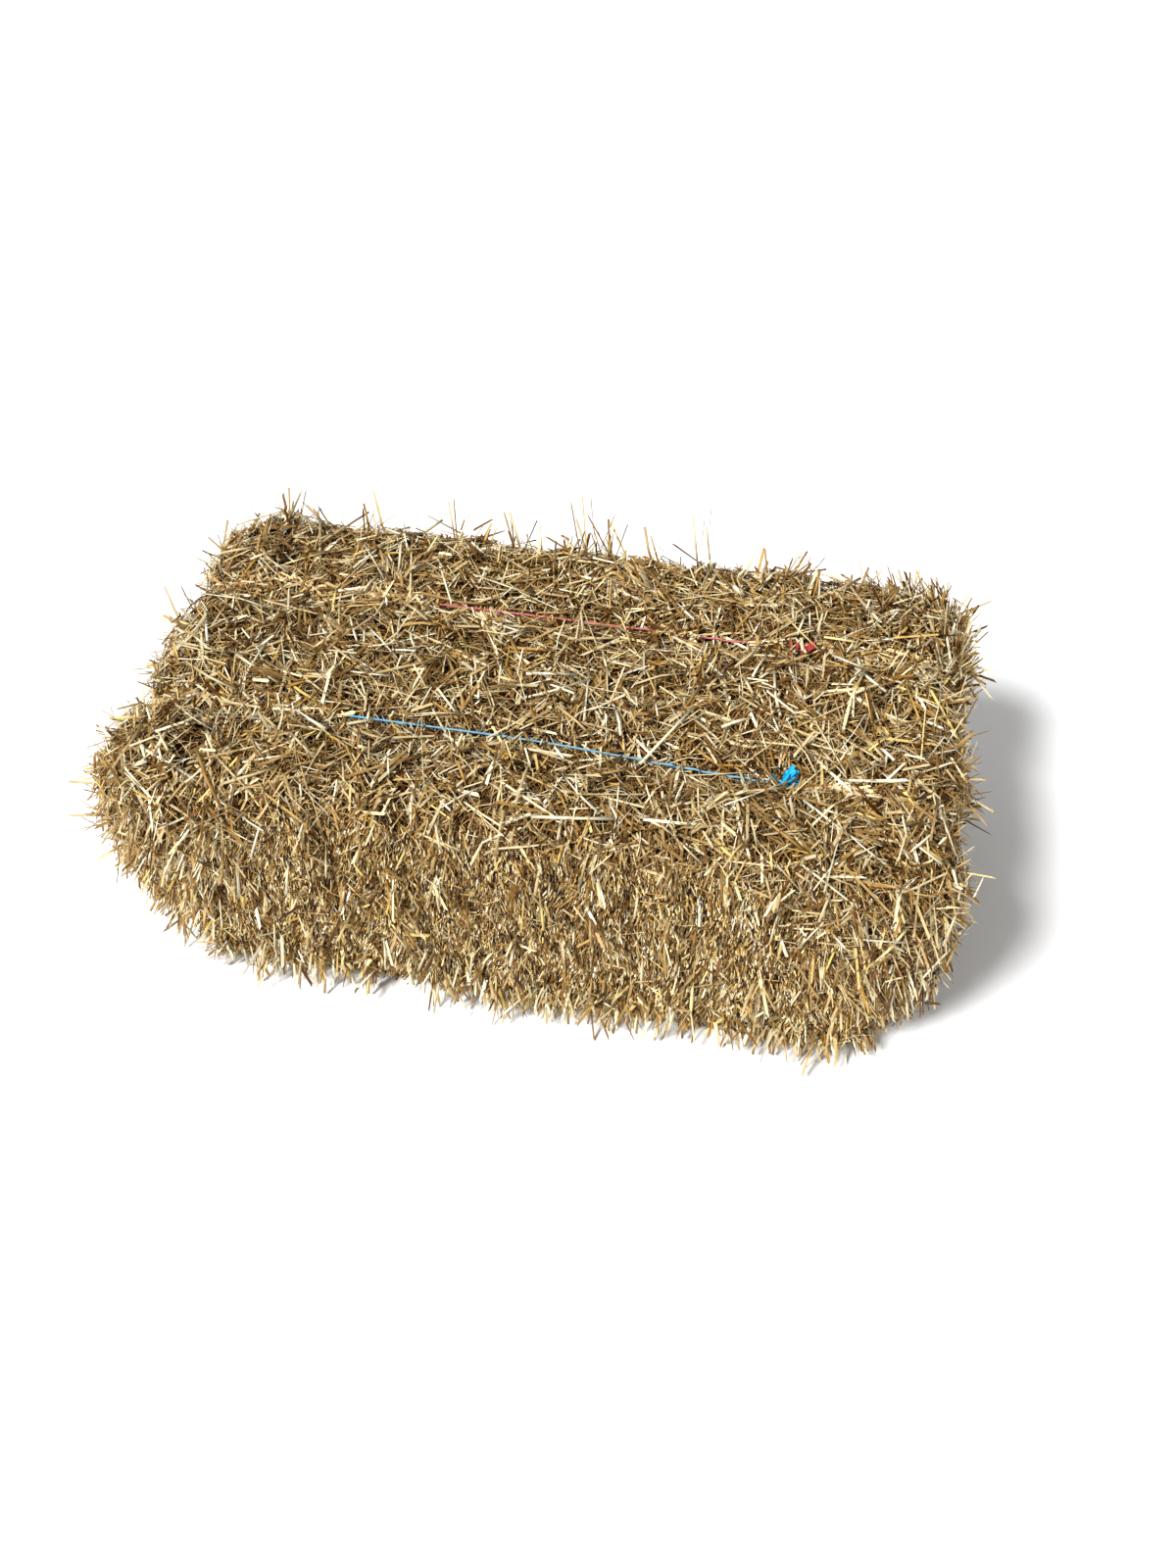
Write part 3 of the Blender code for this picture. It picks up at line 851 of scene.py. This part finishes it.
def cell_maps(shape, count):
    """Where each face corner of a straw lies in its cell of the bake's map, for all its straws."""
    low, high = CELL_MARGIN, 1 - CELL_MARGIN
    floor = low + (CAP_STRIP if shape.caps else 0.0)
    places = []
    for face, (u0, v0, u1, v1) in zip(shape.sides, shape.cells):
        us = [low + (high - low) * u for u in (u0, u1, u1, u0)]
        vs = [floor + (high - floor) * v for v in (v0, v0, v1, v1)]
        places += list(zip(us, vs))[:len(face)]
    for cap, middle in zip(shape.caps, CAP_MIDDLES):
        places += ellipse(middle, CAP_REACH, len(cap))
    return np.tile(places, (count, 1)).reshape(count, -1, 2)


def shade_sheet_arrays(points, triangles, normals):
    """The flake's own form, drawn in: a dark sheet of painted shade behind the gaps between straws."""
    inner = points - normals * DEEP
    inner[:, 2] = np.maximum(inner[:, 2], DEEP / 2)
    count = len(triangles)
    return {
        "points": inner,
        "loops": triangles.ravel(),
        "totals": np.full(count, 3),
        "smooth": np.zeros(count, bool),
        # Painted shade: one dark tone and tint all over the sheet
        "tone": np.full(len(inner), SHADE_SHEET_TONE),
        "kind": np.full(len(inner), SHADE_SHEET_KIND),
        "along": inner[:, 0],
        "across": inner[:, 1] + inner[:, 2],
        "maps": np.tile(TRIANGLE_CELL, (count, 1)).reshape(count, 3, 2),
    }


def placed(name, data):
    """An object of the scene with that data."""
    made = bpy.data.objects.new(name, data)
    bpy.context.scene.collection.objects.link(made)
    return made


def build_mesh(name, parts):
    """One object from the parts, with a cell of the bake's map for each straw."""
    points = np.concatenate([part["points"] for part in parts])
    bases = np.cumsum([0] + [len(part["points"]) for part in parts[:-1]])
    loops = np.concatenate([part["loops"] + base for part, base in zip(parts, bases)])
    totals = np.concatenate([part["totals"] for part in parts])
    mesh = bpy.data.meshes.new(name)
    mesh.vertices.add(len(points))
    mesh.vertices.foreach_set("co", points.astype(np.float32).ravel())
    mesh.loops.add(len(loops))
    mesh.loops.foreach_set("vertex_index", loops.astype(np.int32))
    mesh.polygons.add(len(totals))
    starts = np.concatenate([[0], np.cumsum(totals)[:-1]])
    mesh.polygons.foreach_set("loop_start", starts.astype(np.int32))
    mesh.polygons.foreach_set("use_smooth", np.concatenate([part["smooth"] for part in parts]))
    for label in ("tone", "kind", "along", "across"):
        attribute = mesh.attributes.new(label, "FLOAT", "POINT")
        values = np.concatenate([part[label] for part in parts])
        attribute.data.foreach_set("value", values.astype(np.float32))
    total = sum(len(part["maps"]) for part in parts)
    columns = math.ceil(math.sqrt(total / CELL_ASPECT))
    rows = math.ceil(total / columns)
    cells, base = [], 0
    for part in parts:
        number = np.arange(len(part["maps"])) + base
        base += len(number)
        corner = np.stack([number % columns, number // columns], 1)[:, None]
        cells.append(((corner + part["maps"]) / (columns, rows)).reshape(-1, 2))
    layer = mesh.uv_layers.new(name="OFBake")
    layer.data.foreach_set("uv", np.concatenate(cells).astype(np.float32).ravel())
    mesh.update()
    mesh.validate()
    return placed(name, mesh)


def dress_flake(flake, material):
    """One mesh with all the straws of a flake and the dark sheet of painted shade behind them, in
    place of its solid.
    """
    node = f"flake_{flake + 1:02d}"
    draw = np.random.default_rng(SEED + flake)
    points, triangles, stalks = read_flake(node)
    shown = triangles[outer_faces(flake, points, triangles)]
    normals = closed_normals(flake, points, point_normals(points, shown))
    weights = side_weights(points, shown)
    batches = {shape: [] for shape in SHAPES}
    for side, (layers, sway, share, golden) in SIDES.items():
        for layer in layers:
            places = strewn(draw, points, shown, normals, weights[side], layer.per_m2 * share)
            batches[layer.shape].append(lay_layer(draw, layer, sway, golden, *places))
    batches["stalk"].append(lay_stalks(draw, stalks))
    drooping = [stalk for stalk in stalks if stalk[1][2] < FRINGE_HEIGHT]
    standing = [stalk for stalk in stalks if stalk[1][2] >= FRINGE_HEIGHT]
    batches["chip"].append(lay_companions(draw, drooping, FRINGE))
    batches["chip"].append(lay_companions(draw, standing, COMPANIONS))
    batches["split"].append(lay_covers(draw, flake))
    parts = [form_arrays(SHAPES[shape], clear_of_twines(within_reach(joined(gathered))))
             for shape, gathered in batches.items()]
    # The dark sheet of painted shade behind the straws
    parts.append(shade_sheet_arrays(points, triangles, normals))
    piece = build_mesh(f"{node}_straws", parts)
    piece.data.materials.append(material)
    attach(piece, "root")
    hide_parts(node)


def node_at(tree, kind, x, y, **values):
    made = tree.nodes.new(kind)
    made.location = (x, y)
    for name, value in values.items():
        setattr(made, name, value)
    return made


def fill_ramp(ramp, stops):
    elements = ramp.color_ramp.elements
    while len(elements) < len(stops):
        elements.new(0.5)
    for element, (place, colour) in zip(elements, stops):
        element.position = place
        element.color = (*linear(colour), 1.0)


def new_material(name):
    made = bpy.data.materials.new(name)
    made.use_nodes = True
    return made, made.node_tree, made.node_tree.nodes["Principled BSDF"]


def stored(tree, label, x, y):
    """A number that is stored on the points."""
    return node_at(tree, "ShaderNodeAttribute", x, y, attribute_name=label).outputs["Fac"]


def streaks(tree, fineness, x, y):
    """Noise drawn out along a straw or a strand, from the places stored on its points."""
    place = node_at(tree, "ShaderNodeCombineXYZ", x - 400, y)
    tree.links.new(stored(tree, "along", x - 600, y), place.inputs["X"])
    tree.links.new(stored(tree, "across", x - 600, y - 200), place.inputs["Y"])
    scaled = node_at(tree, "ShaderNodeVectorMath", x - 200, y, operation="MULTIPLY")
    scaled.inputs[1].default_value = (*fineness, 1.0)
    tree.links.new(place.outputs[0], scaled.inputs[0])
    noise = node_at(tree, "ShaderNodeTexNoise", x, y)
    noise.inputs["Scale"].default_value = 1.0
    noise.inputs["Detail"].default_value = 2.0
    tree.links.new(scaled.outputs[0], noise.inputs["Vector"])
    return noise


def straw_material():
    """Dry straw: each stalk has one tone, from brown to bleached, streaked and stained along it."""
    made, tree, shader = new_material("straw")
    stains = streaks(tree, STAIN_FINENESS, -900, 0)
    fibres = streaks(tree, FIBRE_FINENESS, -900, -500)
    tone = stored(tree, "tone", -900, 500)
    for noise, strength, x in ((stains, STAIN_STRENGTH, -640), (fibres, FIBRE_STRENGTH, -460)):
        added = node_at(tree, "ShaderNodeMath", x, 450, operation="MULTIPLY_ADD")
        added.inputs[1].default_value = strength
        tree.links.new(noise.outputs["Fac"], added.inputs[0])
        tree.links.new(tone, added.inputs[2])
        tone = added.outputs[0]
    centred = node_at(tree, "ShaderNodeMath", -280, 450, operation="SUBTRACT", use_clamp=True)
    centred.inputs[1].default_value = TONE_SHIFT
    tree.links.new(tone, centred.inputs[0])
    tones = node_at(tree, "ShaderNodeValToRGB", -100, 450)
    fill_ramp(tones, STRAW_TONES)
    tree.links.new(centred.outputs[0], tones.inputs["Fac"])
    tints = node_at(tree, "ShaderNodeValToRGB", -100, 200)
    fill_ramp(tints, STRAW_TINTS)
    tree.links.new(stored(tree, "kind", -900, 300), tints.inputs["Fac"])
    tinted = node_at(tree, "ShaderNodeMix", 220, 400, data_type="RGBA", blend_type="MULTIPLY")
    tinted.inputs["Factor"].default_value = 1.0
    tree.links.new(tones.outputs["Color"], tinted.inputs["A"])
    tree.links.new(tints.outputs["Color"], tinted.inputs["B"])
    tree.links.new(tinted.outputs["Result"], shader.inputs["Base Color"])
    shader.inputs["Specular IOR Level"].default_value = STRAW_GLOSS
    roughen(tree, shader, fibres, STRAW_ROUGHNESS, STRAW_BUMP)
    return made


def roughen(tree, shader, fibres, roughness, bump):
    """Lets the fibres set the roughness, between those two values, and a bump's strength and depth."""
    rough = node_at(tree, "ShaderNodeMapRange", 220, 50)
    rough.inputs["To Min"].default_value, rough.inputs["To Max"].default_value = roughness
    tree.links.new(fibres.outputs["Fac"], rough.inputs["Value"])
    tree.links.new(rough.outputs["Result"], shader.inputs["Roughness"])
    raised = node_at(tree, "ShaderNodeBump", 220, -300)
    raised.inputs["Strength"].default_value, raised.inputs["Distance"].default_value = bump
    tree.links.new(fibres.outputs["Fac"], raised.inputs["Height"])
    tree.links.new(raised.outputs["Normal"], shader.inputs["Normal"])


def film_material(name):
    """Split polypropylene film: fibres of one colour, paler where the tone on its points says so."""
    made, tree, shader = new_material(name)
    fibres = streaks(tree, FILM_FINENESS, -700, 200)
    tones = node_at(tree, "ShaderNodeValToRGB", -300, 300)
    fill_ramp(tones, TWINE_TONES[name])
    tree.links.new(fibres.outputs["Fac"], tones.inputs["Fac"])
    faded = node_at(tree, "ShaderNodeMix", 0, 400, data_type="RGBA")
    faded.inputs["B"].default_value = (*linear(FADED[name]), 1.0)
    tree.links.new(stored(tree, "tone", -300, 500), faded.inputs["Factor"])
    tree.links.new(tones.outputs["Color"], faded.inputs["A"])
    tree.links.new(faded.outputs["Result"], shader.inputs["Base Color"])
    roughen(tree, shader, fibres, FILM_ROUGHNESS, FILM_BUMP)
    return made


def line_frames(line):
    """At each point of a closed line, the way ahead, a level side and the way up from it."""
    ahead = unit(np.roll(line, -1, axis=0) - np.roll(line, 1, axis=0))
    side = unit(np.array((0.0, 1.0, 0.0)) - ahead * ahead[:, 1:2])
    return ahead, side, np.cross(ahead, side)


def tube_arrays(line, across, out, section, closed, widths=None):
    """A tube along a line. Across and out are its section's axes at each point."""
    section = np.array(section)
    sides, count = len(section), len(line)
    widths = np.ones(count) if widths is None else widths
    ring = across[:, None] * section[:, 0, None] + out[:, None] * section[:, 1, None]
    points = (line[:, None] + ring * widths[:, None, None]).reshape(-1, 3)
    bands = count if closed else count - 1
    faces = []
    for band in range(bands):
        low, high = band * sides, (band + 1) % count * sides
        for j in range(sides):
            k = (j + 1) % sides
            faces += [low + j, low + k, high + k, high + j]
    number = bands * sides
    travelled = np.concatenate([[0], np.cumsum(np.linalg.norm(np.diff(line, axis=0), axis=1))])
    part = {
        "points": points,
        "loops": np.array(faces),
        "totals": np.full(number, 4),
        "smooth": np.ones(number, bool),
        "tone": np.zeros(len(points)),
        "kind": np.zeros(len(points)),
        "along": np.repeat(travelled, sides),
        "across": np.tile(np.arange(sides) * STRAND_WIDTH / sides, count),
        "maps": np.tile(SQUARE_CELL, (number, 1)).reshape(number, 4, 2),
    }
    return [part] if closed else [part, cap_arrays(part, sides)]


def cap_arrays(part, sides):
    """The two ends of an open tube, as a part of its own that shares its rim's places."""
    points = np.concatenate([part["points"][:sides][::-1], part["points"][-sides:]])
    corners = ellipse((0.5, 0.5), (0.4, 0.4), sides)
    return {
        "points": points,
        "loops": np.arange(2 * sides),
        "totals": np.array([sides, sides]),
        "smooth": np.zeros(2, bool),
        "tone": np.zeros(2 * sides),
        "kind": np.zeros(2 * sides),
        "along": np.repeat([part["along"][0], part["along"][-1]], sides),
        "across": np.concatenate([part["across"][:sides], part["across"][-sides:]]),
        "maps": np.array([corners, corners]),
    }


def twisted_strands(line):
    """Flat strands of film, laid up round the line with a whole number of turns."""
    ahead, side, up = line_frames(line)
    count = len(line)
    turns = round(count * TWINE_STEP / LAY_LENGTH)
    flat = [(-0.5 * STRAND_WIDTH, 0), (0, -0.5 * STRAND_THICKNESS),
            (0.5 * STRAND_WIDTH, 0), (0, 0.5 * STRAND_THICKNESS)]
    parts = []
    for strand in range(STRANDS):
        angle = 2 * math.pi * (np.arange(count) * turns / count + strand / STRANDS)[:, None]
        out = side * np.cos(angle) + up * np.sin(angle)
        across = np.cross(out, ahead)
        parts += tube_arrays(line + out * STRAND_OFFSET, across, out, flat, True)
    for part in parts:
        spread = FADE_SPREAD * ripples(part["points"], FADE_SIZE, SEED)
        part["tone"] = np.clip(FADING * (1 + spread), 0, 1)
    return parts


def ribbon(draw, root, way, length, width, facing):
    """A loose bit of film that curls away from its root, its flat side to the way that it faces."""
    share = np.linspace(0, 1, RIBBON_POINTS)[:, None]
    curl = draw.normal(0, RIBBON_CURL, 3) * length
    crumple = draw.normal(0, RIBBON_CRUMPLE, (RIBBON_POINTS, 3)) * length
    line = root + way * length * share + curl * share**2 + crumple * share
    line[:, 2] = np.maximum(line[:, 2], GROUND)
    ahead = unit(np.gradient(line, axis=0))
    across = unit(np.cross(facing, ahead))
    out = np.cross(ahead, across)
    flat = [(-0.5 * width, 0), (0, -FILM_THICKNESS), (0.5 * width, 0), (0, FILM_THICKNESS)]
    (arch_start, arch_share), (least, more) = RIBBON_ARCH, RIBBON_SWELL
    widths = least + more * np.sin(math.pi * (arch_start + arch_share * share[:, 0]))
    return tube_arrays(line, across, out, flat, False, widths)


def knot_parts(draw, name):
    """A tightened overhand knot on the twine, with its frayed tufts."""
    knot_x = KNOTS[name] + SHIFT[0]
    across, height = twine_on_top(name, np.array([knot_x]))
    middle = np.array((knot_x, across[0], height[0] + KNOT_SIZE))
    turn = np.linspace(0, 2 * math.pi, KNOT_POINTS, endpoint=False)
    loop = np.stack([np.sin(turn) + 2 * np.sin(2 * turn), np.cos(turn) - 2 * np.cos(2 * turn),
                     -np.sin(3 * turn)], 1) * KNOT_SIZE
    _, side, up = line_frames(middle + loop)
    section = ellipse((0, 0), (KNOT_TUBE, KNOT_TUBE), 6)
    parts = tube_arrays(middle + loop, side, -up, section, True)
    for offset, way, length, count, width, stray in TUFTS[name]:
        for _ in range(count):
            root = middle + (offset, 0, 0) + draw.normal(0, TUFT_ROOTS, 3)
            strayed = unit(np.array(way) + draw.normal(0, stray, 3))
            facing = np.array(TUFT_FACING) + draw.normal(0, TUFT_FACING_STRAY, 3)
            reach = length * draw.uniform(*TUFT_LENGTHS)
            parts += ribbon(draw, root, strayed, reach, width * draw.uniform(*TUFT_WIDTHS), facing)
    return parts


def dress_twine(name):
    """The twine as twisted film, with its knot and loose fibrils, in place of its solid."""
    draw = np.random.default_rng(SEED + len(name))
    line = TWINE_LINES[name]
    ahead, side, up = line_frames(line)
    parts = twisted_strands(line) + knot_parts(draw, name)
    for i in draw.integers(0, len(line), FIBRILS):
        forward = ahead[i] * draw.choice((-1, 1))
        aside = side[i] * draw.normal(0, FIBRIL_STRAY)
        upward = up[i] * draw.normal(0, FIBRIL_STRAY)
        way = unit(forward + aside + upward)
        facing = draw.normal(0, 1, 3)
        parts += ribbon(draw, line[i], way, draw.uniform(*FIBRIL_LENGTH), FIBRIL_WIDTH, facing)
    piece = build_mesh(f"{name}_strands", parts)
    piece.data.materials.append(film_material(name))
    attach(piece, "root")
    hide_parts(name)


def aim_camera():
    data = bpy.data.cameras.new("camera")
    data.sensor_width = SENSOR
    data.lens = FOCAL_PIXELS / PHOTO_HEIGHT * SENSOR
    camera = placed("camera", data)
    yaw, pitch, roll = (math.radians(a) for a in (CAMERA_YAW, CAMERA_PITCH, CAMERA_ROLL))
    level = math.cos(pitch)
    ahead = Vector((math.sin(yaw) * level, math.cos(yaw) * level, -math.sin(pitch)))
    right = Vector((math.cos(yaw), -math.sin(yaw), 0))
    up = right.cross(ahead)
    right_rolled = right * math.cos(roll) + up * math.sin(roll)
    up_rolled = up * math.cos(roll) - right * math.sin(roll)
    turn = Matrix((right_rolled, up_rolled, -ahead)).transposed().to_4x4()
    camera.matrix_world = Matrix.Translation(Vector(CAMERA_PLACE) + Vector(SHIFT)) @ turn
    bpy.context.scene.camera = camera


def add_sun(name, place, spread, strength):
    """A far light that shines from that side, its spread in degrees."""
    data = bpy.data.lights.new(name, "SUN")
    data.angle = math.radians(spread)
    data.energy = strength
    light = placed(name, data)
    light.location = place
    light.rotation_euler = (-Vector(place)).to_track_quat("-Z", "Y").to_euler()


def build_studio():
    """A pale floor, a key light from the front and above, and an even pale surround."""
    mesh = bpy.data.meshes.new("floor")
    corners = [(x * FLOOR_REACH, y * FLOOR_REACH, 0) for x, y in ((-1, -1), (1, -1), (1, 1), (-1, 1))]
    mesh.from_pydata(corners, [], [(0, 1, 2, 3)])
    pale, _, shader = new_material("floor")
    shader.inputs["Base Color"].default_value = (FLOOR_GREY, FLOOR_GREY, FLOOR_GREY, 1)
    shader.inputs["Roughness"].default_value = FLOOR_ROUGHNESS
    mesh.materials.append(pale)
    floor = placed("floor", mesh)
    world = bpy.data.worlds.new("studio")
    world.use_nodes = True
    world.node_tree.nodes["Background"].inputs["Color"].default_value = (1, 1, 1, 1)
    world.node_tree.nodes["Background"].inputs["Strength"].default_value = SURROUND
    bpy.context.scene.world = world
    add_sun("key", KEY_PLACE, KEY_SPREAD, KEY_STRENGTH)
    bpy.context.scene.view_settings.view_transform = "Standard"
    bpy.context.scene.view_settings.look = "Medium High Contrast"


straw = straw_material()
for flake_number in range(FLAKE_COUNT):
    dress_flake(flake_number, straw)
for twine_name in KNOTS:
    dress_twine(twine_name)
aim_camera()
build_studio()
